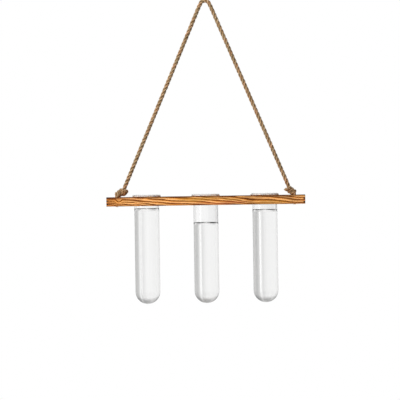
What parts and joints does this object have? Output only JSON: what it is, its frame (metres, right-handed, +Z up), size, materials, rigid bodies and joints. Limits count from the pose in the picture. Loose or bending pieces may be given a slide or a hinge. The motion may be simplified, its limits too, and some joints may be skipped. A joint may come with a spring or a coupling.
{
  "type": "hanging propagation vase",
  "caption": "Slim wooden bar hung from a knotted jute rope, holding round-bottomed glass tubes that lift out, for rooting cut stems in water.",
  "frame": {"origin": "the hanging point, on the inside of the rope's top bend", "axes": "+Z up, +X along the bar to the right, -Y to the front"},
  "size_m": [0.25, 0.06, 0.3908],
  "materials": {
    "wood": "scorched and brushed softwood, oiled",
    "glass": "clear fire-polished borosilicate glass",
    "jute": "laid jute rope"
  },
  "bodies": {
    "hanger": {"hanging_rope": "jute"},
    "bar": {"wooden_bar": "wood", "left_knot": "jute", "right_knot": "jute"},
    "left_tube": {"left_tube": "glass"},
    "middle_tube": {"middle_tube": "glass"},
    "right_tube": {"right_tube": "glass"}
  },
  "joints": [
    {"name": "bar_swing", "type": "hinge", "parent": "hanger", "child": "bar", "pos_m": [0, 0, -0.2366], "axis": [1, 0, 0], "range_deg": [-30, 30]},
    {"name": "left_tube_lift", "type": "slide", "parent": "bar", "child": "left_tube", "axis": [0, 0, 1], "range_m": [0, 0.026]},
    {"name": "middle_tube_lift", "type": "slide", "parent": "bar", "child": "middle_tube", "axis": [0, 0, 1], "range_m": [0, 0.15]},
    {"name": "right_tube_lift", "type": "slide", "parent": "bar", "child": "right_tube", "axis": [0, 0, 1], "range_m": [0, 0.026]}
  ]
}
